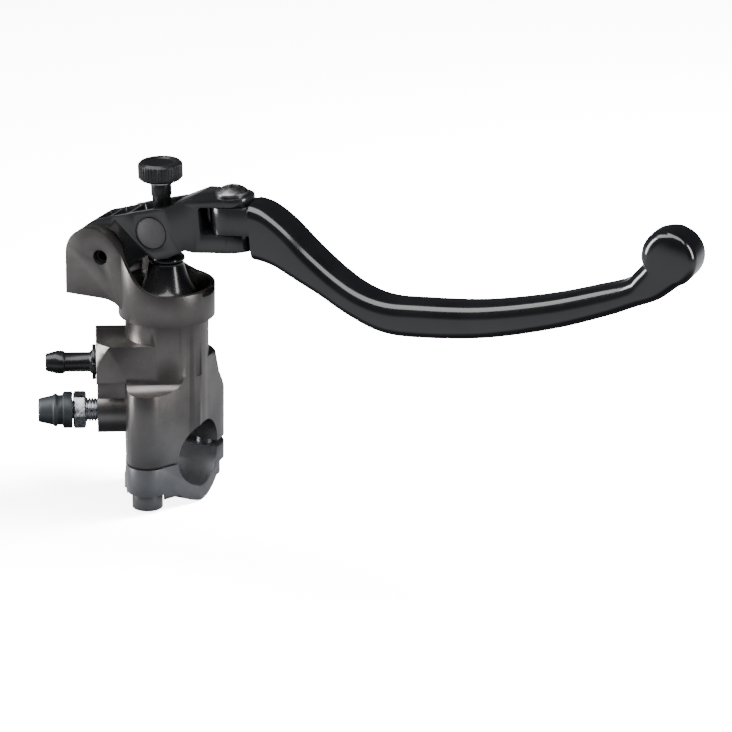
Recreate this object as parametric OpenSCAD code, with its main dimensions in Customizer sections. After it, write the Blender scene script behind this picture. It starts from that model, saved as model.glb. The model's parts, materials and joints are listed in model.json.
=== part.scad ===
// Radial brake master cylinder with handlebar clamp and folding lever.
// The origin is the centre of the handlebar bore. +X runs along the bar towards the lever tip,
// +Z runs along the piston axis towards the lever, and +Y is the underside on the vehicle.

/* [Handlebar clamp] */
// Diameter of the handlebar
bar_d = 22.2; // [22:0.1:22.6]
// Width of the clamp along the bar, which is also the diameter of the barrel
clamp_w = 27; // [26:0.5:27]
// Distance of each clamp bolt from the bar axis
bolt_y = 15; // [15:0.1:16]
// Thread diameter of the clamp bolts
bolt_d = 6; // [5:1:6]

/* [Hydraulics] */
// Diameter of the piston
piston_d = 19; // [17:0.5:19]
// Outer radius of the collar around the push rod
collar_r = 15.6; // [15.3:0.1:16]
// Height of the collar rim above the bar axis
rim_z = 57; // [56.5:0.5:58]
// Turn of the two side ports away from the bar axis
port_turn = 28; // [24:1:30]
// Height of the reservoir inlet above the bar axis
inlet_z = 29.8; // [29:0.2:31]
// Height of the bleed screw above the bar axis
bleed_z = 13.2; // [13:0.1:14]

/* [Lever] */
// Distance from the lever pivot to the piston axis
lever_ratio = 18; // [18:0.5:20]
// Height of the lever pivot above the bar axis
pivot_z = 66; // [65.5:0.5:67]
// Diameter of the pivot pin
pivot_d = 8; // [7:0.5:8]
// Width of the slot between the ears
slot_w = 14; // [13.5:0.5:14.5]
// Thickness of each ear
ear_t = 4.5; // [4:0.5:5]
// Tilt of the folding joint against the piston axis
fold_tilt = 5.5; // [5:0.5:6]
// Width of the lever blade along the grip
blade_w = 13; // [12:0.5:14]
// Radius of the ball at the lever tip
ball_r = 9; // [8.5:0.25:9.5]

/* [Hidden] */

$fn = 72;
eps = 0.01;
fit = 0.03;                                // radial clearance of a running fit

// Clamp block, seen along Z
bar_r = bar_d / 2;
barrel_r = clamp_w / 2;
groove_gap = 0.6;                          // clearance over the bar outside the clamp
near_bolt = [0.2, -bolt_y];
far_bolt = [6.4, bolt_y];
boss_r = 6.5;
split_near_z = -0.75;                      // top of the cap on the closed side
split_far_z = -2.3;                        // top of the cap on the open side
ledge_z = 24.5;                            // top of the boss on the closed side
ledge_r = 4.5;                             // blend of the ledge into the barrel
shoulder_z = 14;                           // where the open side starts to taper in
shoulder_mid_z = 24;
shoulder_top_z = 32.4;
block_r = 22.8;                            // reach of the open side at those heights
shoulder_mid_r = 17.9;
shoulder_r = 15.9;
cap_r = 16;                                // outside of the cap round the bar
cap_near_z = -10;                          // bolt seats
cap_far_z = -8;
foot_h = 1.8;                              // depth of the spot faces under the bolt heads
spot_r = 6.7;
head_r = 5;
head_h = 5.5;
bolt_key_r = 2.85;                         // socket, across its corners
thread_top_z = 20;

// Cylinder
bore_r = piston_d / 2;
bore_bottom_z = 15.5;
bore_top_z = 47;
collar_z = 46.6;
boot_r = 12;                               // counterbore that holds the boot
mouth_r = 14.1;                            // inside of the rim
mouth_h = 3.6;
clip_z = 48.2;                             // groove of the retaining ring
clip_h = 1.1;
clip_depth = 0.8;
piston_bottom_z = 30.5;
primary_z = 31.6;                          // seal grooves of the piston and the waist between them
waist_z = 36.2;
secondary_z = 42;
groove_r = bore_r - 2.7;
waist_r = bore_r - 2.1;
ball_z = 50;                               // centre of the rod's ball end
piston_stem_r = 5.4;
boot_z = 49.6;                             // foot and top of the bellows
boot_top_z = 66.4;
boot_neck_r = 4.1;                         // clears the leaning push rod

// Ears
ear_y = slot_w / 2 + ear_t;
ear_end_x = -30.5;
ear_top = [-21.3, pivot_z];
ear_top_r = 9.2;
ear_slope = 42;                            // direction of the slope's normal
ear_floor_z = 52.2;
blend_r = 15;                              // blend of the slope into the rim
web_r = 8.7;                               // hollow under the ear
pivot = [-lever_ratio, pivot_z];
pin_r = pivot_d / 2;
pin_half = 9.5;
tool_hole_r = 2.5;
bush_r = 5.5;

// Side ports, measured out from the piston axis
port_face = 23;
inlet_front = 12.9;                        // from the port's axis to the front of its block
inlet_back = 8;
inlet_low_z = 27;
inlet_top_z = 39.4;
chamfer_r = 12.7;                          // turned chamfer on the end of the block
inlet_boss_r = 7.5;
inlet_r = 5;
inlet_floor = 14;
inlet_clip_r = 5.8;
breather_r = 0.4;
drilling_r = 1.5;                          // passages between the ports and the cylinder
barb_r = 3.75;                             // widest part of the barb, and its length
barb_len = 2.2;
bleed_r = 4;
bleed_boss_r = 7.5;
bleed_seat = 17.5;                         // where the seat ends and the thread begins
outlet_turn = -38;
outlet_z = 20.5;
outlet_face = 23;
outlet_boss_r = 8;
outlet_depth = 10;
outlet_r = 4.6;

// Push rod, leaning in the XZ plane
nut_at = [-1.2, 75.7];
nut_r = 5;
nut_half = 8.4;
rod_r = 3;
rod_lean = atan2(nut_at[0], nut_at[1] - ball_z);
rod_len = norm([nut_at[0], nut_at[1] - ball_z]);
knob_up = 15.6;                            // underside of the knob above the nut
knob_r = 7.15;
knob_h = 6;
knurls = 42;

// Lever bracket and folding joint
hub_half = 8.7;
eye_r = 11.3;                              // round end of the bracket over the pivot
pocket_half = 5;                           // pockets in the top of the bracket
pocket_depth = 2.6;
pocket_slope = 18;
neck_half = slot_w / 2 - 0.3;
fold_at = [23.85, 82.7];
fork_half = 7.2;
tongue_h = 8.6;
fork_gap = 9.2;
arm_top = 7;                               // above the centre of the joint
arm_bottom = -10.4;
fold_r = 3;
fold_bush_r = 4.4;
shoulder_x = 8.2;

// Centre line of the blade, its half height there, and the centre of the ball
blade_line = [[27, 80.2, 9.1], [33, 80.2, 9.1], [40, 78.3, 8.3], [50, 71.8, 6.7], [60, 65.8, 5.4],
    [70, 60.6, 5.2], [80, 58.6, 5.5], [95, 60, 5.5], [110, 62.1, 5.4], [125, 66, 5.2], [140, 70.9, 4.9],
    [155, 77, 4.7], [164, 82.5, 5]];
ball_at = [169, 91.4];

// Points of a smooth curve through a list of knots, steps pieces to each gap
function spline_at(p, q, r, s, t) = 0.5 * (2 * q + (r - p) * t
    + (2 * p - 5 * q + 4 * r - s) * t * t + (3 * q - p - 3 * r + s) * t * t * t);
function spline(k, steps) = [for (i = [0:len(k) - 2], j = [0:steps - 1])
    spline_at(k[max(i - 1, 0)], k[i], k[i + 1], k[min(i + 2, len(k) - 1)], j / steps), k[len(k) - 1]];

// Wire coil along Z: a tube of radius wire swept round a helix of mean radius r
module coil(r, wire, length, turns, ring_steps = 20, sides = 8) {
    rings = floor(turns * ring_steps);
    points = [for (i = [0:rings], j = [0:sides - 1])
        let (a = 360 * turns * i / rings, b = 360 * j / sides, d = r + wire * cos(b))
        [d * cos(a), d * sin(a), wire + (length - 2 * wire) * i / rings + wire * sin(b)]];
    walls = [for (i = [0:rings - 1], j = [0:sides - 1]) let (k = (j + 1) % sides)
        [i * sides + j, (i + 1) * sides + j, (i + 1) * sides + k, i * sides + k]];
    start = [for (j = [0:sides - 1]) j];
    end = [for (j = [sides - 1:-1:0]) rings * sides + j];
    polyhedron(points, concat([start, end], walls), convexity = 8);
}

// Extrude an XZ outline over y0..y1
module along_y(y0, y1) {
    translate([0, y1, 0]) rotate([90, 0, 0]) linear_extrude(y1 - y0) children();
}

module tube(ro, ri, h) {
    difference() {
        cylinder(r = ro, h = h);
        translate([0, 0, -1]) cylinder(r = ri, h = h + 2);
    }
}

// Frame of the side ports: the axis points out of the port
module port(z) {
    translate([0, 0, z]) rotate([0, 0, port_turn]) rotate([0, -90, 0]) children();
}

// Frame of the push rod: origin at the nut, Z up the rod
module rod_frame() {
    translate([nut_at[0], 0, nut_at[1]]) rotate([0, rod_lean, 0]) children();
}

// Frame of the folding joint
module fold_frame() {
    translate([fold_at[0], 0, fold_at[1]]) rotate([0, -fold_tilt, 0]) children();
}

// Plan of the clamp block
module clamp_plan() {
    hull() {
        translate(near_bolt) circle(boss_r);
        translate(far_bolt) circle(boss_r - 0.2);
        translate([clamp_w / 2 - 0.5, -3]) circle(0.5);
        translate([-clamp_w / 2 + 0.5, -4.5]) circle(0.5);
        translate([-clamp_w / 2 + 0.5, 8]) circle(0.5);
    }
}

// Bore for the handlebar, with a wider groove where the bar passes under the ports
module bar_bore() {
    translate([-50, 0, 0]) rotate([0, 90, 0]) cylinder(r = bar_r, h = 100);
    translate([-50, 0, 0]) rotate([0, 90, 0]) cylinder(r = bar_r + groove_gap, h = 50 - clamp_w / 2);
}

module bolt_holes(z0, z1, r) {
    for (b = [near_bolt, far_bolt]) translate([b[0], b[1], z0]) cylinder(r = r, h = z1 - z0);
}

// Outline of one ear: round top, long slope and the blend into the rim
module ear_outline() {
    slope_x = ear_top[0] + ear_top_r * cos(ear_slope);
    slope_z = ear_top[1] + ear_top_r * sin(ear_slope);
    foot_x = slope_x + (slope_z - rim_z) * tan(ear_slope);
    run = blend_r * tan((90 - ear_slope) / 2);
    translate(ear_top) circle(ear_top_r);
    difference() {
        union() {
            translate([ear_end_x, ear_floor_z]) square([12, pivot_z - ear_floor_z]);
            polygon([ear_top, [slope_x, slope_z],
                [foot_x - run * sin(ear_slope), rim_z + run * cos(ear_slope)], [foot_x + run, rim_z],
                [foot_x + run, collar_z], [ear_end_x + 12, collar_z], [ear_end_x + 12, pivot_z]]);
        }
        translate([foot_x + run, rim_z + blend_r - 0.1]) circle(blend_r);
        translate([ear_end_x + 13.5, ear_floor_z - web_r]) circle(web_r);
        translate([ear_end_x + 10, collar_z - 1]) square([3.5, ear_floor_z - collar_z + 1]);
    }
}

// Collar and the two ears, one each side of the lever
module collar() {
    intersection() {
        translate([0, 0, collar_z]) cylinder(r = collar_r, h = 40);
        along_y(-collar_r, collar_r) {
            ear_outline();
            translate([-collar_r, collar_z]) square([2 * collar_r, rim_z - collar_z]);
        }
    }
    for (y = [-ear_y, slot_w / 2]) along_y(y, y + ear_t) intersection() {
        ear_outline();
        translate([ear_end_x, collar_z]) square([-ear_end_x, 40]);
    }
}

// Clamp block: a flat ledge on the closed side, a tapered shoulder on the open side
module block() {
    intersection() {
        linear_extrude(ledge_z) clamp_plan();
        translate([-50, -50, 0]) cube([100, 50 + eps, 50]);
    }
    intersection() {
        linear_extrude(shoulder_top_z) clamp_plan();
        translate([-50, 0, 0]) cube([100, 50, 50]);
        union() {
            rotate_extrude() polygon([[0, 0], [2 * barrel_r, 0], [block_r, shoulder_z],
                [shoulder_mid_r, shoulder_mid_z], [shoulder_r, shoulder_top_z], [0, shoulder_top_z]]);
        }
    }
    // the ledge runs along the front of the inlet block, with a hollow fillet up to it
    intersection() {
        linear_extrude(2 * ledge_z) clamp_plan();
        rotate([0, 0, port_turn]) union() {
            translate([-30, -inlet_front, 0]) cube([60, inlet_front, inlet_low_z + 1]);
            translate([-30, -inlet_front - ledge_r, ledge_z]) rotate([90, 0, 90]) linear_extrude(60)
                difference() {
                    translate([0, -1]) square([ledge_r + 2, ledge_r + 1]);
                    translate([0, ledge_r]) circle(ledge_r);
                }
        }
    }
}

// Block that carries the reservoir inlet, with the bleed boss below it
module port_block() {
    rotate([0, 0, port_turn]) {
        intersection() {
            translate([-port_face, -inlet_front, inlet_low_z])
                cube([port_face, inlet_front + inlet_back, inlet_top_z - inlet_low_z]);
            translate([0, 0, inlet_z]) rotate([0, -90, 0])
                cylinder(r1 = chamfer_r + 0.8 * port_face, r2 = chamfer_r, h = port_face);
        }
        translate([-port_face + 0.4, -5, bleed_z]) cube([port_face, 10, inlet_z - bleed_z]);
    }
    port(inlet_z) cylinder(r = inlet_boss_r, h = port_face);
    port(bleed_z) cylinder(r = bleed_boss_r, h = port_face - 0.3);
    rotate([0, 0, outlet_turn]) translate([0, 0, outlet_z]) rotate([0, -90, 0])
        cylinder(r = outlet_boss_r, h = outlet_face);
}

// Everything machined out of the body
module body_bores() {
    bar_bore();
    translate([0, 0, bore_bottom_z]) cylinder(r = bore_r, h = 60);
    translate([0, 0, bore_top_z]) cylinder(r = boot_r, h = rim_z - bore_top_z + 1);
    translate([0, 0, clip_z - 0.1]) cylinder(r = boot_r + clip_depth, h = clip_h + 0.2);
    // flared mouth, carried up between the ears
    rotate_extrude() polygon([[0, rim_z - mouth_h], [boot_r, rim_z - mouth_h], [mouth_r, rim_z],
        [mouth_r, 2 * rim_z], [0, 2 * rim_z]]);
    // slot for the lever bracket
    translate([0, slot_w / 2, 0]) rotate([90, 0, 0]) linear_extrude(slot_w)
        polygon([[-60, collar_z - 1], [0.6 - collar_r, collar_z - 1], [0.6 - collar_r, rim_z],
            [60, rim_z], [60, 2 * rim_z], [-60, 2 * rim_z]]);
    bolt_holes(-1, thread_top_z, bolt_d / 2 + fit);
    // pivot pin: blind on the near ear but for a tool hole, open on the far ear
    translate([pivot[0], -pin_half - 0.05, pivot[1]]) rotate([-90, 0, 0])
        cylinder(r = pin_r + fit, h = 40);
    translate([pivot[0], -20, pivot[1]]) rotate([-90, 0, 0]) cylinder(r = tool_hole_r, h = 20);
    // inlet, with its feed to the cylinder and the fine breather hole beside it
    port(inlet_z) {
        translate([0, 0, inlet_floor]) cylinder(r = inlet_r, h = 30);
        translate([0, 0, port_face - 1]) cylinder(r = inlet_clip_r + 0.1, h = 30);
        translate([0, 0, 5]) cylinder(r = breather_r, h = 12);
    }
    translate([0, 0, inlet_z]) rotate([0, 0, port_turn]) translate([-15, 0, 1])
        rotate([0, 60, 0]) translate([0, 0, -1]) cylinder(r = drilling_r, h = 12);
    // bleed screw seat and its passage
    port(bleed_z) {
        translate([0, 0, bleed_seat]) cylinder(r = bleed_r + fit, h = 30);
        translate([0, 0, bleed_seat - 2.5]) cylinder(r1 = drilling_r, r2 = bleed_r, h = 2.5 + eps);
    }
    translate([0, 0, bleed_z]) rotate([0, 0, port_turn]) translate([2 - bleed_seat, 0, 0])
        rotate([0, 74, 0]) cylinder(r = drilling_r, h = 12);
    // outlet
    rotate([0, 0, outlet_turn]) translate([0, 0, outlet_z]) rotate([0, -90, 0]) {
        translate([0, 0, outlet_face - outlet_depth]) cylinder(r = outlet_r, h = 30);
        translate([0, 0, 8]) cylinder(r = drilling_r, h = 12);
    }
    // flat with a lock hole on the rim
    translate([collar_r - 1.4, -4.5, rim_z - 1.2]) rotate([0, 30, 0]) cube([6, 9, 6]);
    translate([collar_r - 1.6, 0, rim_z - 4]) cylinder(r = 0.5, h = 10);
}

module master_cylinder_body() {
    color("dimgray") difference() {
        union() {
            translate([0, 0, 5]) cylinder(r = barrel_r, h = collar_z - 5 + eps);
            block();
            collar();
            port_block();
        }
        body_bores();
    }
}

// Cap that closes the clamp round the bar
module handlebar_clamp() {
    color("slategray") difference() {
        intersection() {
            translate([0, 0, -40]) linear_extrude(40) clamp_plan();
            union() {
                translate([-50, 0, 0]) rotate([0, 90, 0]) cylinder(r = cap_r, h = 100);
                translate([-50, -50, cap_near_z - foot_h]) cube([100, 50, foot_h - cap_near_z]);
                translate([-50, 0, cap_far_z - foot_h]) cube([100, 50, foot_h - cap_far_z]);
            }
        }
        bar_bore();
        translate([-50, -50, split_near_z]) cube([100, 50, 50]);
        translate([-50, -eps, split_far_z]) cube([100, 50, 50]);
        bolt_holes(-30, 5, bolt_d / 2 + 0.2);
        translate([near_bolt[0], near_bolt[1], -40]) cylinder(r = spot_r, h = 40 + cap_near_z);
        translate([far_bolt[0], far_bolt[1], -40]) cylinder(r = spot_r, h = 40 + cap_far_z);
    }
}

// Socket-head bolt hanging down from its seat
module clamp_bolt(x, y, seat_z) {
    difference() {
        union() {
            translate([x, y, seat_z - head_h]) cylinder(r = head_r, h = head_h);
            translate([x, y, seat_z - eps]) cylinder(r = bolt_d / 2, h = thread_top_z - 1 - seat_z);
        }
        translate([x, y, seat_z - head_h - 1]) cylinder(r = bolt_key_r, h = 4, $fn = 6);
    }
}

module clamp_bolts() {
    color("darkslategray") {
        clamp_bolt(near_bolt[0], near_bolt[1], cap_near_z);
        clamp_bolt(far_bolt[0], far_bolt[1], cap_far_z);
    }
}

// Piston turned from one bar: seal grooves, waist, stem and the socket for the rod
module piston() {
    color("silver") difference() {
        union() {
            translate([0, 0, piston_bottom_z]) cylinder(r = bore_r - 0.05, h = bore_top_z
                - piston_bottom_z);
            translate([0, 0, bore_top_z - eps]) cylinder(r = piston_stem_r, h = 3.4);
            translate([0, 0, piston_bottom_z - 3]) cylinder(r = 3.5, h = 3 + eps);
        }
        translate([0, 0, primary_z]) tube(bore_r + 1, groove_r, 3.2);
        translate([0, 0, waist_z]) tube(bore_r + 1, waist_r, 4.4);
        translate([0, 0, secondary_z]) tube(bore_r + 1, groove_r, 3);
        translate([0, 0, ball_z]) sphere(r = 3.9);
        translate([0, 0, ball_z]) cylinder(r1 = 3.8, r2 = 4.6, h = 2);
    }
}

// Lip seal for a groove that starts at z: the lip points down the bore
module lip_seal(z, h) {
    heel = groove_r + 0.05;
    translate([0, 0, z + 0.1 + h]) mirror([0, 0, 1]) rotate_extrude() polygon([[heel, 0],
        [bore_r - 0.1, 0], [bore_r - 0.06, h], [bore_r - 1.1, h], [heel + 0.85, 0.45 * h],
        [heel, 0.6 * h]]);
}

module primary_seal() {
    color("black") lip_seal(primary_z, 3);
}

module secondary_seal() {
    color("black") lip_seal(secondary_z, 2.8);
}

module return_spring() {
    color("lightgray") translate([0, 0, bore_bottom_z + 1.1])
        coil(5.6, 0.75, piston_bottom_z - bore_bottom_z - 1.2, 5);   // mean radius, wire radius
}

module spring_seat() {
    color("white") translate([0, 0, bore_bottom_z + 0.02]) {
        tube(bore_r - 0.9, 2, 1);
        tube(4.6, 2, 4);
    }
}

module thrust_washer() {
    color("silver") translate([0, 0, bore_top_z + 0.02]) tube(boot_r - 0.1, piston_stem_r + 0.3, 1);
}

// Retaining ring with its two plier eyes
module circlip() {
    eye_at = 10.4;
    color("dimgray") translate([0, 0, clip_z]) difference() {
        union() {
            tube(boot_r + clip_depth - 0.1, eye_at + 0.2, clip_h);
            for (a = [-16, 16]) rotate(a) translate([eye_at, 0, 0]) cylinder(r = 1.3, h = clip_h);
        }
        translate([6, -1.5, -1]) cube([12, 3, 4]);
        for (a = [-16, 16]) rotate(a) translate([eye_at, 0, -1]) cylinder(r = 0.6, h = 4);
    }
}

// Bell-shaped boot between the collar and the push rod, with one fold above its foot
module dust_boot() {
    foot_r = boot_r - 0.2;
    color("black") rotate_extrude() polygon([[piston_stem_r + 0.9, boot_z], [foot_r, boot_z],
        [foot_r, boot_z + 1.8], [foot_r - 0.9, boot_z + 2.4], [foot_r - 2.4, boot_z + 2.6],
        [foot_r - 2, boot_z + 3.8], [foot_r - 3.1, boot_z + 5.6], [boot_neck_r + 1.9, boot_z + 12],
        [boot_neck_r + 1.2, boot_top_z - 2.4], [boot_neck_r + 1.5, boot_top_z - 1.2],
        [boot_neck_r + 1.2, boot_top_z], [boot_neck_r, boot_top_z], [boot_neck_r, boot_top_z - 3.4],
        [piston_stem_r + 0.9, boot_z + 3.8]]);
}

// Threaded rod with a ball end, a collar above the bracket and a square drive for the knob
module push_rod() {
    color("gainsboro") rod_frame() difference() {
        union() {
            translate([0, 0, -rod_len]) sphere(r = 3.5);
            translate([0, 0, -rod_len]) cylinder(r = 2.6, h = 8);
            translate([0, 0, 6 - rod_len]) cylinder(r = rod_r, h = rod_len - 6 + knob_up + 3);
            translate([0, 0, 10.4]) cylinder(r = 3.3, h = knob_up - 10.4);
        }
        translate([0, 0, -rod_len - 5]) cylinder(r = 3, h = 2.2);
    }
}

module knob_washer() {
    color("silver") rod_frame() translate([0, 0, knob_up - 0.8]) tube(4.6, 3.3 + fit, 0.75);
}

// Straight-knurled knob with chamfered rims and a dished top
module adjuster_knob() {
    chamfer = 0.9;
    color("black") rod_frame() translate([0, 0, knob_up]) difference() {
        rotate_extrude() polygon([[0, 0], [knob_r - chamfer, 0], [knob_r, chamfer],
            [knob_r, knob_h - chamfer], [knob_r - chamfer, knob_h], [knob_r - 2.2, knob_h],
            [knob_r - 2.8, knob_h - 0.5], [0, knob_h - 0.5]]);
        for (i = [0:knurls - 1]) rotate(360 * i / knurls) translate([knob_r + 0.12, 0, -1])
            rotate(45) translate([-0.3, -0.3, 0]) cube([0.6, 0.6, knob_h + 2]);
        translate([0, 0, -1]) cylinder(r = rod_r, h = 4);
    }
}

module barrel_nut() {
    color("gray") difference() {
        translate([nut_at[0], -nut_half, nut_at[1]]) rotate([-90, 0, 0])
            cylinder(r = nut_r, h = 2 * nut_half);
        rod_frame() translate([0, 0, -20]) cylinder(r = rod_r + fit, h = 40);
    }
}

// Side view of the bracket: boss round the pivot, hub round the nut, and the fork
module bracket_outline() {
    fork = [for (p = [[-11.5, arm_bottom], [0, arm_bottom], [0, arm_top], [-11.5, arm_top]])
        fold_at + [p[0] * cos(fold_tilt) - p[1] * sin(fold_tilt),
            p[0] * sin(fold_tilt) + p[1] * cos(fold_tilt)]];
    difference() {
        union() {
            translate(pivot) circle(8);
            intersection() {
                translate(pivot) circle(eye_r);
                translate([pivot[0] - 20, pivot[1] - 1]) square([24, 20]);
            }
            polygon([pivot + [-4.2, 10.4], [-16.6, 78.3], [-8, 81.1], [4, 84.7], fork[3], fork[2],
                fork[1], fork[0],
                [10.6, 71.6], [4.6, 68.3], [0.5, 67.2], [-4, 67.6], [-10, 62.5], pivot + [3, -7.4]]);
        }
        translate([fork[0][0] + 1.5, fork[0][1] - 11.9]) circle(12);
    }
}

// Line that bounds the wide hub towards the ears
module hub_limit() {
    polygon([[-14.6, 79.2], [-0.9, 67.2], [0, 40], [60, 40], [60, 120], [-14.6, 120]]);
}

// Rounded pocket from x0 to x1 along the top face
module pocket(x0, x1) {
    corner_r = 1.2;
    translate([0, 0, -pocket_depth]) linear_extrude(20) union() {
        translate([x0 + corner_r, -pocket_half]) square([x1 - x0 - 2 * corner_r, 2 * pocket_half]);
        translate([x0, corner_r - pocket_half]) square([x1 - x0, 2 * (pocket_half - corner_r)]);
        for (x = [x0 + corner_r, x1 - corner_r], y = [corner_r - pocket_half, pocket_half - corner_r])
            translate([x, y]) circle(corner_r);
    }
}

module lever_bracket() {
    color("black") difference() {
        union() {
            along_y(-neck_half, neck_half) bracket_outline();
            along_y(-hub_half, hub_half) intersection() {
                bracket_outline();
                hub_limit();
            }
            fold_frame() translate([0, 0, arm_bottom + 0.05])
                cylinder(r = fork_half - 0.03, h = arm_top - arm_bottom - 0.1);
        }
        // faces that narrow towards the fork
        for (side = [-1, 1]) linear_extrude(200) polygon([[9, side * hub_half],
            [fold_at[0], side * fork_half], [60, side * fork_half], [60, side * 20], [9, side * 20]]);
        // slot for the tongue, seats and bore of the screw
        fold_frame() {
            translate([-7.3, -20, -fork_gap / 2]) cube([40, 40, fork_gap]);
            translate([-8.5, -20, 1.2 - fork_gap / 2]) cube([40, 40, fork_gap - 2.4]);
            for (z = [1.2 - fork_gap / 2, fork_gap / 2 - 1.2]) translate([-7.3, -20, z])
                rotate([-90, 0, 0]) cylinder(r = 1.2, h = 40);
            translate([0, 0, -40]) cylinder(r = fold_r + fit, h = 80);
            translate([0, 0, arm_bottom - 5]) cylinder(r = 5.2, h = 5 + 2.6);
        }
        // pivot, nut and rod
        translate([pivot[0], -20, pivot[1]]) rotate([-90, 0, 0]) cylinder(r = bush_r, h = 40);
        translate([nut_at[0], -20, nut_at[1]]) rotate([-90, 0, 0]) cylinder(r = nut_r + 0.05, h = 40);
        for (y = [-hub_half - 1, hub_half - 0.6]) translate([nut_at[0], y, nut_at[1]])
            rotate([-90, 0, 0]) cylinder(r = nut_r + 0.5, h = 1.6);
        rod_frame() along_y(-3.8, 3.8) polygon([[-3.8, 0], [-3.8, -20], [8.5, -20], [3.8, 0],
            [3.8, 20], [-8.5, 20]]);
        translate([-8, 0, 81.1]) rotate([0, -pocket_slope, 0]) {
            pocket(-15.2, -10.6);
            pocket(-9.4, -3.2);
            pocket(-2, 12.5);
        }
    }
}

module pivot_pin() {
    color("silver") translate([pivot[0], -pin_half, pivot[1]]) rotate([-90, 0, 0]) difference() {
        cylinder(r = pin_r, h = 2 * pin_half);
        translate([0, 0, -1]) cylinder(r = 1.8, h = 5, $fn = 6);
    }
}

module pivot_bushes() {
    color("goldenrod") for (y = [-neck_half, 1.5]) translate([pivot[0], y, pivot[1]])
        rotate([-90, 0, 0]) tube(bush_r, pin_r + fit, neck_half - 1.5);
}

module pin_retainer() {
    color("dimgray") translate([pivot[0], pin_half + 0.05, pivot[1]]) rotate([-90, 0, 0])
        difference() {
            cylinder(r = pin_r, h = 1.8);
            translate([0, 0, 0.5]) cylinder(r = 2, h = 3, $fn = 6);
        }
}

// Side view of the blade, from the shoulder to the ball
module blade_outline() {
    top = spline([for (b = blade_line) [b[0], b[1] + b[2]]], 5);
    low = spline([for (i = [len(blade_line) - 1:-1:0])
        [blade_line[i][0], blade_line[i][1] - blade_line[i][2]]], 5);
    polygon(concat(top, low));
    translate(ball_at) circle(ball_r);
    polygon([ball_at + [-ball_r, 0], [158.2, 83.2], [160, 74.8], ball_at + [4.5, -7.8], ball_at]);
}

module lever_blade() {
    color("black") difference() {
        union() {
            intersection() {
                along_y(-fork_half, fork_half) blade_outline();
                linear_extrude(200) polygon([[20, fork_half], [50, fork_half], [75, blade_w / 2],
                    [200, blade_w / 2], [200, -blade_w / 2], [75, -blade_w / 2], [50, -fork_half],
                    [20, -fork_half]]);
                fold_frame() translate([shoulder_x, -50, -100]) cube([250, 100, 200]);
            }
            fold_frame() {
                translate([0, 0, -tongue_h / 2]) cylinder(r = fork_half + 0.4, h = tongue_h);
                translate([0, -fork_half, -tongue_h / 2]) cube([shoulder_x + 2, 2 * fork_half, tongue_h]);
            }
        }
        fold_frame() {
            translate([0, 0, -20]) cylinder(r = fold_bush_r, h = 40);
            translate([0, 0, -20]) cylinder(r = 6, h = 20 - tongue_h / 2 + 3);
        }
    }
}

module fold_bush() {
    color("goldenrod") fold_frame() translate([0, 0, -tongue_h / 2])
        tube(fold_bush_r, fold_r + fit, tongue_h);
}

module fold_spring() {
    color("silver") fold_frame() translate([0, 0, -tongue_h / 2 + 0.05]) coil(5.2, 0.4, 2.7, 2.5);
}

// Domed screw with a six-lobed socket
module fold_screw() {
    lobes = 6;
    color("gray") fold_frame() difference() {
        union() {
            translate([0, 0, arm_top + 0.02]) intersection() {
                cylinder(r = 5.25, h = 3.3);
                translate([0, 0, -4.1]) sphere(r = 7.4);
            }
            translate([0, 0, arm_bottom + 0.4]) cylinder(r = fold_r, h = arm_top - arm_bottom);
        }
        translate([0, 0, arm_top + 1.2]) for (i = [0:lobes - 1]) rotate(360 * i / lobes) {
            translate([1.65, 0, 0]) cylinder(r = 0.62, h = 4);
            cylinder(r = 1.75, h = 4);
        }
    }
}

module fold_nut() {
    color("gray") fold_frame() translate([0, 0, arm_bottom + 0.2]) difference() {
        cylinder(r = 5, h = 2.3, $fn = 6);
        translate([0, 0, -1]) cylinder(r = fold_r + fit, h = 5);
    }
}

// Barbed spigot for the reservoir hose
module inlet_fitting() {
    color("black") port(inlet_z) rotate_extrude() polygon([[1.8, 15], [4.95, 15], [4.95, 17],
        [3.9, 17], [3.9, 19.2], [4.95, 19.2], [4.95, 22.02], [5.75, 22.02], [5.75, 22.9],
        [3.9, 22.9], [3.9, 24.6], [3.2, 25], [3.2, 33], [barb_r, 33.4], [barb_r, 33.4 + barb_len],
        [3.45, 36.8], [2.8, 39.3], [1.8, 39.3]]);
}

module inlet_o_ring() {
    color("black") port(inlet_z) translate([0, 0, 18.1]) rotate_extrude()
        translate([4.42, 0]) circle(0.5, $fn = 24);
}

// Notched spring clip that holds the spigot in its port
module inlet_clip() {
    color("black") port(inlet_z) translate([0, 0, port_face + 0.05]) difference() {
        cylinder(r = inlet_clip_r, h = 1.2);
        translate([0, 0, -1]) cylinder(r = 3.95, h = 4);
        for (a = [20, 110, 200, 290]) rotate(a) translate([5.2, -0.8, -1]) cube([3, 1.6, 4]);
    }
}

module bleed_screw() {
    color("lightgray") port(bleed_z) difference() {
        union() {
            translate([0, 0, bleed_seat - 1.5]) cylinder(r1 = 2.2, r2 = bleed_r - 0.4, h = 1.8);
            translate([0, 0, bleed_seat + 0.3]) cylinder(r = bleed_r, h = 26.4 - bleed_seat - 0.3);
            rotate(90) translate([0, 0, 26.3]) cylinder(r = 6.2, h = 4.3, $fn = 6);
            translate([0, 0, 30.5]) cylinder(r = 3, h = 6);
            translate([0, 0, 36.5]) cylinder(r1 = 3.4, r2 = 2.4, h = 2.5);
        }
        translate([0, 0, bleed_seat + 1.5]) cylinder(r = 1, h = 30);
        translate([0, -5, bleed_seat + 2.2]) rotate([-90, 0, 0]) cylinder(r = 0.8, h = 10);
    }
}

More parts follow.
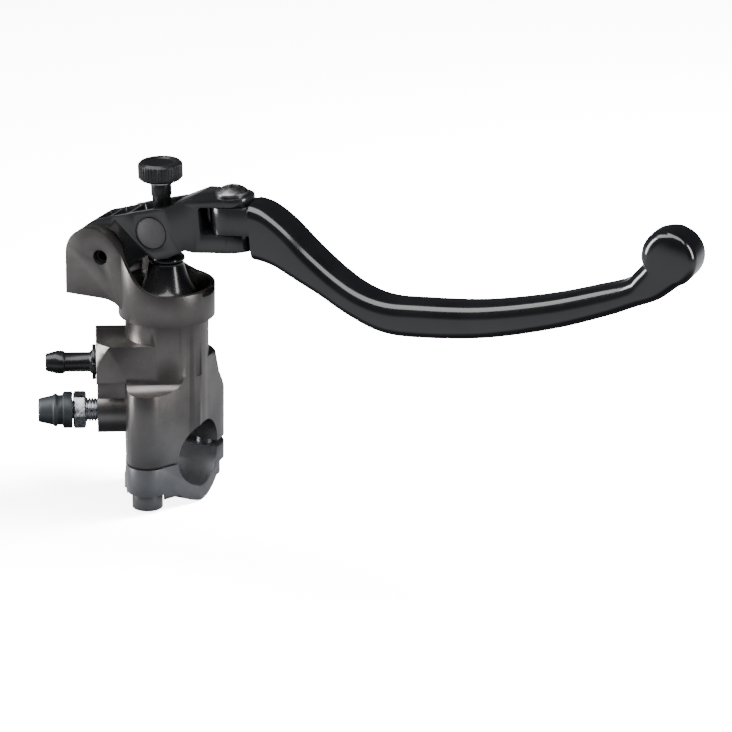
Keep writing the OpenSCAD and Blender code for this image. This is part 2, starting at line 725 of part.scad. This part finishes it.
module bleed_cap() {
    color("dimgray") port(bleed_z) difference() {
        rotate_extrude() polygon([[0, 30.8], [5.9, 30.8], [6, 31.2], [6, 33.6], [5.7, 33.9],
            [4.9, 34], [4.9, 35.6], [5.4, 36], [5.4, 36.8], [4.9, 37.1], [3.9, 41.5], [3.5, 41.9],
            [0, 41.9]]);
        translate([0, 0, 30]) cylinder(r = 3.02, h = 6.5);
        translate([0, 0, 36.4]) cylinder(r = 3.45, h = 3);
    }
}

master_cylinder_body();
handlebar_clamp();
clamp_bolts();
piston();
primary_seal();
secondary_seal();
return_spring();
spring_seat();
thrust_washer();
circlip();
dust_boot();
push_rod();
adjuster_knob();
knob_washer();
barrel_nut();
lever_bracket();
pivot_pin();
pivot_bushes();
pin_retainer();
lever_blade();
fold_bush();
fold_spring();
fold_screw();
fold_nut();
inlet_fitting();
inlet_o_ring();
inlet_clip();
bleed_screw();
bleed_cap();
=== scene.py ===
import json
import math

import bmesh
import bpy
from mathutils import Matrix, Vector


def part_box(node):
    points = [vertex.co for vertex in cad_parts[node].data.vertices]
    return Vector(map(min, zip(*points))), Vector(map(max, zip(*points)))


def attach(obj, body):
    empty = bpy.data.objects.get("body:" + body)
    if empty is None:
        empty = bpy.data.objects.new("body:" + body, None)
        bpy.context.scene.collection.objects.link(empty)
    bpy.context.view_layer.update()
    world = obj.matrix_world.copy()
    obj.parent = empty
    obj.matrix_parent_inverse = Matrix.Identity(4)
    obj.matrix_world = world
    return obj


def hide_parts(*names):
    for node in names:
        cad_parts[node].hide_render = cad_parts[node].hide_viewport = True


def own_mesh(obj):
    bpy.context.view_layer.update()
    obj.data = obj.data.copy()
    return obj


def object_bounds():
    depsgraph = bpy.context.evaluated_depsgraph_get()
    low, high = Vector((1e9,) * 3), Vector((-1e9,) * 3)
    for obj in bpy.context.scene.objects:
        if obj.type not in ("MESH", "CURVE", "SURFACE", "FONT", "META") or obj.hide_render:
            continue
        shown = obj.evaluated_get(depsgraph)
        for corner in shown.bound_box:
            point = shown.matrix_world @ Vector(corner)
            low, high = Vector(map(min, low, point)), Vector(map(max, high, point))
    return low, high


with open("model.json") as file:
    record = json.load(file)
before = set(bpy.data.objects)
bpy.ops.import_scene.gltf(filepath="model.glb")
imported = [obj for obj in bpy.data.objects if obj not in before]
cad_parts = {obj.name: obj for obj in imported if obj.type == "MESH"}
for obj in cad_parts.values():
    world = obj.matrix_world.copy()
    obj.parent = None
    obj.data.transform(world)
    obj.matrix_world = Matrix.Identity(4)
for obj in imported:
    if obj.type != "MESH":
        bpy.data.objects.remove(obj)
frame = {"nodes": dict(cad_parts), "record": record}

CAD_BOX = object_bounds()
MM = 0.001

# Camera: a long lens that looks at a point beside the collar
AZIMUTH = math.radians(22.8)
ELEVATION = math.radians(20.8)
ROLL = math.radians(1.05)
DISTANCE = 1.08
LENS = 162.0
AIM_RIGHT = 0.0651       # from the bar's centre to the middle of the view
AIM_UP = 0.0261


def add_camera():
    back = Vector((math.sin(AZIMUTH) * math.cos(ELEVATION),
                   -math.cos(AZIMUTH) * math.cos(ELEVATION), math.sin(ELEVATION)))
    level = Vector((math.cos(AZIMUTH), math.sin(AZIMUTH), 0))
    upright = back.cross(level)
    right = level * math.cos(ROLL) + upright * math.sin(ROLL)
    up = upright * math.cos(ROLL) - level * math.sin(ROLL)
    place = right * AIM_RIGHT + up * AIM_UP + back * DISTANCE
    data = bpy.data.cameras.new("camera")
    data.lens = LENS
    data.clip_start = 0.01
    camera = bpy.data.objects.new("camera", data)
    turn = Matrix((right, up, back)).transposed().to_4x4()
    camera.matrix_world = Matrix.Translation(place) @ turn
    bpy.context.scene.collection.objects.link(camera)
    bpy.context.scene.camera = camera


add_camera()

# ---------------------------------------------------------------- materials


def new_material(name):
    material = bpy.data.materials.new(name)
    material.use_nodes = True
    tree = material.node_tree
    return material, tree, tree.nodes["Principled BSDF"]


NOISE_LOW = 0.3          # a noise pattern mostly stays between these two
NOISE_HIGH = 0.7
PAINTED_LIGHT_LOW = -6 * MM       # painted light: the body's colour turns lighter and cooler from the higher to the lower of these
PAINTED_LIGHT_HIGH = 26 * MM
BUMP_STRENGTH = 0.5
COAT_ROUGHNESS = 0.08


def noise(tree, scale, detail=4.0, rough=0.5):
    """Noise in the object's own metres; scale is in cells per metre."""
    coords = tree.nodes.new("ShaderNodeTexCoord")
    texture = tree.nodes.new("ShaderNodeTexNoise")
    texture.inputs["Scale"].default_value = scale
    texture.inputs["Detail"].default_value = detail
    texture.inputs["Roughness"].default_value = rough
    tree.links.new(coords.outputs["Object"], texture.inputs["Vector"])
    return texture.outputs["Fac"]


def ramp(tree, fac, stops):
    node = tree.nodes.new("ShaderNodeValToRGB")
    while len(node.color_ramp.elements) < len(stops):
        node.color_ramp.elements.new(0.5)
    for element, (place, colour) in zip(node.color_ramp.elements, stops):
        element.position = place
        element.color = (*colour, 1)
    tree.links.new(fac, node.inputs["Fac"])
    return node.outputs["Color"]


def spread(tree, fac, low, high):
    """Maps a 0..1 pattern to a range of values."""
    node = tree.nodes.new("ShaderNodeMapRange")
    node.inputs["From Min"].default_value = NOISE_LOW
    node.inputs["From Max"].default_value = NOISE_HIGH
    node.inputs["To Min"].default_value = low
    node.inputs["To Max"].default_value = high
    tree.links.new(fac, node.inputs["Value"])
    return node.outputs["Result"]


def height_band(tree, low, high):
    """0 below the height low and 1 above high, in metres."""
    coords = tree.nodes.new("ShaderNodeTexCoord")
    split = tree.nodes.new("ShaderNodeSeparateXYZ")
    band = tree.nodes.new("ShaderNodeMapRange")
    band.interpolation_type = "SMOOTHSTEP"
    band.inputs["From Min"].default_value = low
    band.inputs["From Max"].default_value = high
    tree.links.new(coords.outputs["Object"], split.inputs["Vector"])
    tree.links.new(split.outputs["Z"], band.inputs["Value"])
    return band.outputs["Result"]


def mixed(tree, fac, a, b):
    node = tree.nodes.new("ShaderNodeMix")
    node.data_type = "RGBA"
    tree.links.new(fac, node.inputs["Factor"])
    for link, name in ((a, "A"), (b, "B")):
        socket = [s for s in node.inputs if s.name == name and s.type == "RGBA"][0]
        tree.links.new(link, socket)
    return [s for s in node.outputs if s.type == "RGBA"][0]


def plain(tree, colour):
    node = tree.nodes.new("ShaderNodeRGB")
    node.outputs[0].default_value = (*colour, 1)
    return node.outputs[0]


def bump(tree, shader, height, strength, distance):
    node = tree.nodes.new("ShaderNodeBump")
    node.inputs["Strength"].default_value = strength
    node.inputs["Distance"].default_value = distance
    tree.links.new(height, node.inputs["Height"])
    tree.links.new(node.outputs["Normal"], shader.inputs["Normal"])


def grained(name, dark, light, rough, metallic, grain=2500, patches=90, bump_mm=0.01,
            coat=0.0, speck=None, painted_light_below=None):
    """One finish: slow patches of colour, fine grain in roughness and height, optional specks."""
    material, tree, shader = new_material(name)
    slow = noise(tree, patches, 3.0)
    fine = noise(tree, grain, 5.0, 0.65)
    colour = ramp(tree, slow, [(NOISE_LOW, dark), (NOISE_HIGH, light)])
    # painted light: towards the bottom the colour is painted lighter and cooler
    if painted_light_below:
        painted_light_tone = ramp(tree, slow, [(NOISE_LOW, painted_light_below[0]), (NOISE_HIGH, painted_light_below[1])])
        colour = mixed(tree, height_band(tree, PAINTED_LIGHT_LOW, PAINTED_LIGHT_HIGH), painted_light_tone, colour)
    if speck:
        dots = noise(tree, grain * 0.8, 1.0, 0.4)
        mask = ramp(tree, dots, [(0.7, (0, 0, 0)), (0.8, (1, 1, 1))])
        colour = mixed(tree, mask, colour, plain(tree, speck))
    tree.links.new(colour, shader.inputs["Base Color"])
    tree.links.new(spread(tree, fine, rough[0], rough[1]), shader.inputs["Roughness"])
    shader.inputs["Metallic"].default_value = metallic
    shader.inputs["Coat Weight"].default_value = coat
    shader.inputs["Coat Roughness"].default_value = COAT_ROUGHNESS
    bump(tree, shader, fine, BUMP_STRENGTH, bump_mm * MM)
    return material


# the anodised body's lower colours are painted light, lighter and cooler towards the bottom
ANODISED = grained("anodised", (0.125, 0.116, 0.112), (0.175, 0.164, 0.16), (0.27, 0.38), 0.92,
                   bump_mm=0.012, speck=(0.25, 0.24, 0.235), grain=3500,
                   painted_light_below=((0.138, 0.136, 0.142), (0.195, 0.193, 0.2)))
# edge wear and a painted highlight: lighter colour on the bevelled edges of the anodised parts
ANODISED_EDGE_WEAR_AND_HIGHLIGHT = grained("anodised_edge_wear_and_highlight", (0.30, 0.29, 0.285), (0.45, 0.44, 0.43), (0.22, 0.4), 0.9)
CAP_ALLOY = grained("cap_alloy", (0.145, 0.148, 0.16), (0.19, 0.194, 0.208), (0.34, 0.46), 0.75,
                    bump_mm=0.01)
GLOSS_BLACK = grained("gloss_black", (0.006, 0.0065, 0.0075), (0.010, 0.0105, 0.012), (0.12, 0.2),
                      0.0, grain=900, bump_mm=0.002, coat=0.6)
BRACKET_BLACK = grained("bracket_black", (0.011, 0.0125, 0.0135), (0.017, 0.0185, 0.0195),
                        (0.17, 0.26), 0.1, grain=1500, bump_mm=0.004, coat=0.5)
# painted highlight: grey colour on the bevelled edges of the black parts
BLACK_EDGE_HIGHLIGHT = grained("gloss_black_edge_highlight", (0.05, 0.051, 0.054), (0.09, 0.092, 0.096),
                     (0.18, 0.3), 0.3)
BLACK_ALLOY = grained("black_alloy", (0.012, 0.012, 0.013), (0.022, 0.022, 0.024),
                      (0.22, 0.36), 0.4)
RUBBER = grained("boot_rubber", (0.006, 0.006, 0.007), (0.012, 0.012, 0.013), (0.16, 0.28), 0.0,
                 bump_mm=0.01, coat=0.3)
CAP_RUBBER = grained("cap_rubber", (0.018, 0.0225, 0.026), (0.028, 0.034, 0.0385), (0.4, 0.56), 0.0,
                     bump_mm=0.02, grain=1800)
PLASTIC = grained("black_plastic", (0.008, 0.008, 0.0095), (0.015, 0.015, 0.0175), (0.18, 0.3), 0.0,
                  bump_mm=0.01, grain=1500)
ZINC = grained("zinc", (0.3, 0.32, 0.34), (0.66, 0.68, 0.72), (0.18, 0.5), 1.0, grain=1100,
               patches=1100, bump_mm=0.09)
DARK_STEEL = grained("dark_steel", (0.10, 0.10, 0.108), (0.15, 0.15, 0.158), (0.3, 0.45), 0.85)
# painted shade: the pivot pin is near-black so that its end reads as shade deep in the tool hole
PIN_STEEL_PAINTED_SHADE = grained("pin_steel_painted_shade", (0.02, 0.02, 0.022), (0.04, 0.04, 0.042), (0.3, 0.45), 0.8)
SCREW_STEEL = grained("screw_steel", (0.07, 0.07, 0.073), (0.24, 0.24, 0.247), (0.3, 0.5), 1.0,
                      grain=1600, patches=700, bump_mm=0.05)
NUT_STEEL = grained("nut_steel", (0.07, 0.066, 0.069), (0.10, 0.095, 0.098), (0.36, 0.5), 0.6,
                    bump_mm=0.015)
BRIGHT_STEEL = grained("bright_steel", (0.45, 0.46, 0.47), (0.6, 0.6, 0.62), (0.16, 0.3), 1.0)
TURNED_ALLOY = grained("turned_alloy", (0.6, 0.6, 0.6), (0.72, 0.72, 0.71), (0.2, 0.34), 1.0)
BRONZE = grained("bronze", (0.42, 0.27, 0.11), (0.55, 0.38, 0.18), (0.25, 0.42), 1.0)
WHITE_PLASTIC = grained("white_plastic", (0.6, 0.6, 0.57), (0.7, 0.7, 0.67), (0.35, 0.5), 0.0)

# ---------------------------------------------------------------- pieces

BODY_OF = {n: b for b, members in frame["record"]["behaviour"]["bodies"].items() for n in members}
JOINT = {j["name"]: j for j in frame["record"]["behaviour"]["joints"]}


def stand_for(piece, node, smooth_angle=32):
    """Shades a new piece and lets it stand for a CAD node."""
    for polygon in piece.data.polygons:
        polygon.use_smooth = True
    piece.data.set_sharp_from_angle(angle=math.radians(smooth_angle))
    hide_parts(node)
    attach(piece, BODY_OF[node])
    return piece


WELD = 2e-6              # points closer than this, in metres, are one point
FLAT = math.radians(0.5)


def bake(piece):
    """Replaces a piece's mesh by what its modifiers make of it."""
    graph = bpy.context.evaluated_depsgraph_get()
    graph.update()
    mesh = bpy.data.meshes.new_from_object(piece.evaluated_get(graph))
    piece.modifiers.clear()
    piece.data = mesh


def new_piece(name, mesh, *materials):
    piece = bpy.data.objects.new(name, mesh)
    bpy.context.scene.collection.objects.link(piece)
    mesh.materials.clear()
    for material in materials:
        mesh.materials.append(material)
    return piece


def break_edges(piece, width, segments=2, angle=35):
    """Merges the triangles into flat faces, then gives every sharp edge a small bevel."""
    weld = piece.modifiers.new("weld", "WELD")
    weld.merge_threshold = WELD
    flat = piece.modifiers.new("flat", "DECIMATE")
    flat.decimate_type = "DISSOLVE"
    flat.angle_limit = FLAT
    broken = piece.modifiers.new("broken", "BEVEL")
    broken.width = width * MM
    broken.segments = segments
    broken.limit_method = "ANGLE"
    broken.angle_limit = math.radians(angle)
    # the bevel faces take the second material, which on the anodised and black parts is a painted
    # highlight
    broken.material = 1
    bake(piece)


def finished(node, material, edge, width):
    """A copy of a CAD node with its sharp edges broken."""
    piece = new_piece(node + "_finished", frame["nodes"][node].data.copy(), material, edge)
    break_edges(piece, width)
    return stand_for(piece, node)


# node: (finish, finish of the bevelled edges, bevel width in millimetres); the lighter edge
# finishes of the anodised and black parts hold a painted highlight
FINISH = {
    "master_cylinder_body": (ANODISED, ANODISED_EDGE_WEAR_AND_HIGHLIGHT, 0.22),
    "handlebar_clamp": (CAP_ALLOY, ANODISED_EDGE_WEAR_AND_HIGHLIGHT, 0.22),
    "clamp_bolts": (DARK_STEEL, SCREW_STEEL, 0.25),
    "piston": (TURNED_ALLOY, TURNED_ALLOY, 0.15),
    "primary_seal": (RUBBER, RUBBER, 0.1),
    "secondary_seal": (RUBBER, RUBBER, 0.1),
    "spring_seat": (WHITE_PLASTIC, WHITE_PLASTIC, 0.1),
    "thrust_washer": (BRIGHT_STEEL, BRIGHT_STEEL, 0.1),
    "circlip": (DARK_STEEL, SCREW_STEEL, 0.1),
    "push_rod": (BLACK_ALLOY, BLACK_EDGE_HIGHLIGHT, 0.15),
    "adjuster_knob": (BLACK_ALLOY, BLACK_EDGE_HIGHLIGHT, 0.07),
    "knob_washer": (BRIGHT_STEEL, BRIGHT_STEEL, 0.08),
    "barrel_nut": (NUT_STEEL, SCREW_STEEL, 0.2),
    "lever_bracket": (BRACKET_BLACK, BLACK_EDGE_HIGHLIGHT, 0.22),
    "pivot_pin": (PIN_STEEL_PAINTED_SHADE, PIN_STEEL_PAINTED_SHADE, 0.2),
    "pivot_bushes": (BRONZE, BRONZE, 0.15),
    "pin_retainer": (DARK_STEEL, SCREW_STEEL, 0.15),
    "fold_bush": (BRONZE, BRONZE, 0.15),
    "fold_screw": (SCREW_STEEL, SCREW_STEEL, 0.15),
    "fold_nut": (SCREW_STEEL, SCREW_STEEL, 0.15),
    "inlet_fitting": (PLASTIC, PLASTIC, 0.25),
    "inlet_o_ring": (RUBBER, RUBBER, 0.05),
    "inlet_clip": (PLASTIC, PLASTIC, 0.15),
    "bleed_cap": (CAP_RUBBER, CAP_RUBBER, 0.2),
}
for node_name, (skin, edge_skin, edge_width) in FINISH.items():
    finished(node_name, skin, edge_skin, edge_width)


def curve_point(knots, place):
    """Point of a smooth curve through the knots at a place from 0 to their number less one."""
    i = min(int(place), len(knots) - 2)
    t = place - i
    p, q, r, s = (knots[max(0, min(len(knots) - 1, i + k))] for k in (-1, 0, 1, 2))
    return tuple(0.5 * (2 * b + (c - a) * t + (2 * a - 5 * b + 4 * c - d) * t * t
                        + (3 * b - a - 3 * c + d) * t ** 3) for a, b, c, d in zip(p, q, r, s))


# Blade: matched points on its upper and lower edge, x and z in millimetres, and its half width
BLADE = [
    (31.45, 89.2, 33.2, 71.15, 7.2), (36.5, 88.2, 36.5, 70.8, 7.2), (43.5, 84.1, 41, 69.6, 7.2),
    (52.5, 76.7, 47.5, 66.5, 7.1), (61.5, 70.2, 56, 62.5, 6.9), (69.5, 66, 65.5, 57.5, 6.7),
    (78, 64.1, 76.5, 53.6, 6.5), (88, 64.7, 89, 53.6, 6.5), (109, 67.3, 111, 56.9, 6.5),
    (130, 72.5, 133, 63.3, 6.5), (146, 78, 150, 70.1, 6.5), (154.8, 81.4, 159.5, 74.7, 6.5),
    (158, 84.8, 167, 78.4, 6.5)]
BALL_X = 169.0           # centre and radius of the tip, seen from the side
BALL_Z = 91.4
BALL_R = 8.9
TIP_KNOTS = 9
TIP_TOP = (200, -111)    # first turn of the tip's top edge, and how far it runs on, in degrees
TIP_LOW = (-66, 130)
TIP_HALF = 6.5           # half width of the tip, and how much of it the end gives up
TIP_TAPER = 2.4
for knot in range(TIP_KNOTS + 1):
    along_tip = knot / TIP_KNOTS
    top_turn = math.radians(TIP_TOP[0] + TIP_TOP[1] * along_tip)
    low_turn = math.radians(TIP_LOW[0] + TIP_LOW[1] * along_tip)
    BLADE.append((BALL_X + BALL_R * math.cos(top_turn), BALL_Z + BALL_R * math.sin(top_turn),
                  BALL_X + BALL_R * math.cos(low_turn), BALL_Z + BALL_R * math.sin(low_turn),
                  TIP_HALF - TIP_TAPER * along_tip ** 5))
TOP_ROUND = 4.3          # radius of the upper edges, in millimetres
LOW_ROUND = 2.6
STEPS = 7                # stations to each gap between knots
ARC = 8                  # faces round each edge


def blade_ring(station):
    """One section: a rectangle with rounded corners between the two edges of the blade."""
    x_top, z_top, x_low, z_low, half = station
    top = Vector((x_top, 0, z_top))
    low = Vector((x_low, 0, z_low))
    middle = (top + low) / 2
    tall = (top - low).length / 2
    up = (top - low).normalized()
    ring = []
    for side, level, first in ((-1, 1, 180), (1, 1, 90), (1, -1, 0), (-1, -1, -90)):
        radius = min(TOP_ROUND if level > 0 else LOW_ROUND, tall * 0.95, half * 0.95)
        for k in range(ARC + 1):
            turn = math.radians(first - 90 * k / ARC)
            across = side * (half - radius) + radius * math.cos(turn)
            along = level * (tall - radius) + radius * math.sin(turn)
            ring.append((middle + up * along + Vector((0, across, 0))) * MM)
    return ring


def loft(name, rings, *materials):
    """A closed skin over a row of rings with the same number of points."""
    count = len(rings[0])
    points = [p for ring in rings for p in ring]
    faces = [(i * count + k, i * count + (k + 1) % count, (i + 1) * count + (k + 1) % count,
              (i + 1) * count + k) for i in range(len(rings) - 1) for k in range(count)]
    faces.append(tuple(reversed(range(count))))
    faces.append(tuple(range(len(points) - count, len(points))))
    mesh = bpy.data.meshes.new(name)
    mesh.from_pydata(points, [], faces)
    build = bmesh.new()
    build.from_mesh(mesh)
    bmesh.ops.recalc_face_normals(build, faces=build.faces)
    build.to_mesh(mesh)
    build.free()
    return new_piece(name, mesh, *materials)


def add_blade():
    stations = [curve_point(BLADE, i / STEPS) for i in range((len(BLADE) - 1) * STEPS + 1)]
    blade = loft("blade_grip", [blade_ring(s) for s in stations], GLOSS_BLACK, BLACK_EDGE_HIGHLIGHT)
    stand_for(blade, "lever_blade")


FOLD_TILT = math.radians(5.5)
SHOULDER = 8.17          # from the folding joint to the blade's shoulder, in millimetres


def add_tongue():
    """The hinged end of the blade, cut from the CAD solid at the shoulder."""
    axis = Vector((math.cos(FOLD_TILT), 0, math.sin(FOLD_TILT)))
    shoulder = Vector(JOINT["blade_fold"]["pos_m"]) + axis * SHOULDER * MM
    build = bmesh.new()
    build.from_mesh(frame["nodes"]["lever_blade"].data)
    bmesh.ops.remove_doubles(build, verts=build.verts, dist=WELD)
    whole = build.verts[:] + build.edges[:] + build.faces[:]
    bmesh.ops.bisect_plane(build, geom=whole, plane_co=shoulder, plane_no=axis, clear_outer=True)
    bmesh.ops.holes_fill(build, edges=[e for e in build.edges if e.is_boundary])
    mesh = bpy.data.meshes.new("blade_tongue")
    build.to_mesh(mesh)
    build.free()
    tongue = new_piece("blade_tongue", mesh, BRACKET_BLACK, BLACK_EDGE_HIGHLIGHT)
    break_edges(tongue, 0.3)
    stand_for(tongue, "lever_blade")


def lathe_mesh(name, profile, place, axis, sides=72):
    """Turns a profile of (radius, height) in millimetres round an axis."""
    turn = Vector(axis).to_track_quat("Z", "Y").to_matrix()
    points = []
    for radius, height in profile:
        for k in range(sides):
            a = 2 * math.pi * k / sides
            local = Vector((radius * math.cos(a), radius * math.sin(a), height)) * MM
            points.append(Vector(place) + turn @ local)
    faces = []
    for i in range(len(profile) - 1):
        for k in range(sides):
            n = (k + 1) % sides
            faces.append((i * sides + k, i * sides + n, (i + 1) * sides + n, (i + 1) * sides + k))
    faces.append(tuple(reversed(range(sides))))
    faces.append(tuple(range(len(points) - sides, len(points))))
    mesh = bpy.data.meshes.new(name)
    mesh.from_pydata(points, [], faces)
    return mesh


def add_boot():
    """Rubber bell with a lip at its neck and one fold above its foot."""
    low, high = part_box("dust_boot")
    foot = (high.x - low.x) / 2 / MM
    tall = (high.z - low.z) / MM
    knots = [(foot, 0), (foot, 1.5), (foot - 0.4, 2.1), (foot - 2.2, 2.5), (foot - 2.7, 3),
             (foot - 2.1, 3.8), (foot - 2.3, 4.8), (foot - 3.4, 6.4), (foot - 4.7, 9),
             (foot - 5.7, 12), (foot - 6.3, tall - 2.6),
             (foot - 6.2, tall - 1.9), (foot - 5.9, tall - 1.2), (foot - 6.1, tall - 0.4),
             (foot - 6.8, tall), (foot - 7.7, tall)]
    profile = [curve_point(knots, i / 4) for i in range((len(knots) - 1) * 4 + 1)]
    mesh = lathe_mesh("boot", profile, (0, 0, low.z), (0, 0, 1))
    boot = new_piece("dust_boot_bell", mesh, RUBBER)
    stand_for(boot, "dust_boot", 60)
    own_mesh(boot)


def add_bleed_screw():
    """Zinc-plated screw: rolled thread, chamfered hexagon and a stem under the cap."""
    axis = Vector(JOINT["bleed_turn"]["axis"])
    start = Vector((0, 0, JOINT["bleed_turn"]["pos_m"][2]))
    thread = [(0.3, 16), (2.2, 16), (3.6, 17.8)]
    pitch = 0.9
    for i in range(9):
        thread += [(4, 17.9 + i * pitch), (4, 18.1 + i * pitch), (3.35, 18.4 + i * pitch),
                   (3.35, 18.55 + i * pitch)]
    thread += [(3.9, 26.1), (3.9, 26.5), (3, 30.4), (3, 36.5), (3.4, 36.6), (2.4, 39), (1, 39)]
    shank = new_piece("bleed_thread", lathe_mesh("bleed_thread", thread, start, axis, 48), ZINC)
    stand_for(shank, "bleed_screw")
    corner = 6.2
    hexagon = lathe_mesh("bleed_hexagon", [(corner - 1, 26.3), (corner, 26.8), (corner, 30.1),
                                           (corner - 1, 30.6)], start, axis, 6)
    nut = new_piece("bleed_hex", hexagon, ZINC, ZINC)
    break_edges(nut, 0.15)
    stand_for(nut, "bleed_screw")


def add_springs():
    for name in ("return_spring", "fold_spring"):
        coil = new_piece(name + "_wire", frame["nodes"][name].data.copy(), BRIGHT_STEEL)
        smooth = coil.modifiers.new("smooth", "SUBSURF")
        smooth.levels = 1
        stand_for(coil, name, 60)
        if name == "return_spring":
            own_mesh(coil)


add_blade()
add_tongue()
add_boot()
add_bleed_screw()
add_springs()

# ---------------------------------------------------------------- studio


def add_floor(height):
    """White table. Only the camera sees it, so it doesn't wash out the dark finishes."""
    size = 4.0
    mesh = bpy.data.meshes.new("floor")
    mesh.from_pydata([(-size, -size, height), (size, -size, height), (size, size, height),
                      (-size, size, height)], [], [(0, 1, 2, 3)])
    floor = bpy.data.objects.new("floor", mesh)
    bpy.context.scene.collection.objects.link(floor)
    floor.visible_glossy = False
    floor.visible_diffuse = False
    material, tree, shader = new_material("floor_white")
    shader.inputs["Base Color"].default_value = (0.9, 0.9, 0.9, 1)
    shader.inputs["Roughness"].default_value = 0.9
    shader.inputs["Specular IOR Level"].default_value = 0.0
    shader.inputs["Emission Color"].default_value = (1, 1, 1, 1)
    shader.inputs["Emission Strength"].default_value = 6.2
    mesh.materials.append(material)
    return floor


def add_softbox(name, place, target, width, height, power):
    data = bpy.data.lights.new(name, "AREA")
    data.shape = "RECTANGLE"
    data.size = width
    data.size_y = height
    data.energy = power
    lamp = bpy.data.objects.new(name, data)
    lamp.location = place
    lamp.rotation_euler = (Vector(target) - Vector(place)).to_track_quat("-Z", "Y").to_euler()
    bpy.context.scene.collection.objects.link(lamp)
    return lamp


def add_world():
    """Dim room that is a little lighter near the table than overhead."""
    world = bpy.data.worlds.new("studio")
    world.use_nodes = True
    tree = world.node_tree
    coords = tree.nodes.new("ShaderNodeTexCoord")
    split = tree.nodes.new("ShaderNodeSeparateXYZ")
    tree.links.new(coords.outputs["Generated"], split.inputs["Vector"])
    colour = ramp(tree, spread(tree, split.outputs["Z"], 0, 1), [
        (0.0, (0.08, 0.083, 0.09)), (0.14, (0.12, 0.124, 0.133)), (0.27, (0.8, 0.82, 0.85)),
        (0.38, (0.7, 0.72, 0.75)), (0.47, (0.12, 0.124, 0.13)), (0.56, (0.03, 0.03, 0.033)),
        (1.0, (0.02, 0.02, 0.022))])
    band = [n for n in tree.nodes if n.type == "MAP_RANGE"][0]
    band.inputs["From Min"].default_value = -1
    band.inputs["From Max"].default_value = 1
    background = tree.nodes["Background"]
    tree.links.new(colour, background.inputs["Color"])
    background.inputs["Strength"].default_value = 1.0
    bpy.context.scene.world = world


MIDDLE = Vector((0.02, 0, 0.05))
FLOOR_GAP = 0.0003
SOFTBOXES = {            # place from the middle, width, height, watts
    "top_strip": ((-0.1, -0.28, 0.7), 1.3, 0.5, 11),
    "left_box": ((-0.8, -0.35, 0.25), 0.3, 0.8, 14),
    "right_box": ((0.9, -0.1, 0.35), 0.3, 0.7, 8),
}
FLOOR_LIGHT = ((0.35, 0.25, 0.5), 0.3, 0.3, 85)


def add_studio():
    floor = add_floor(CAD_BOX[0].z - FLOOR_GAP)
    for name, (place, width, height, power) in SOFTBOXES.items():
        add_softbox(name, MIDDLE + Vector(place), MIDDLE, width, height, power)
    place, width, height, power = FLOOR_LIGHT
    shade = add_softbox("floor_light", MIDDLE + Vector(place), MIDDLE, width, height, power)
    only_floor = bpy.data.collections.new("only_floor")
    only_floor.objects.link(floor)
    shade.light_linking.receiver_collection = only_floor
    add_world()


add_studio()
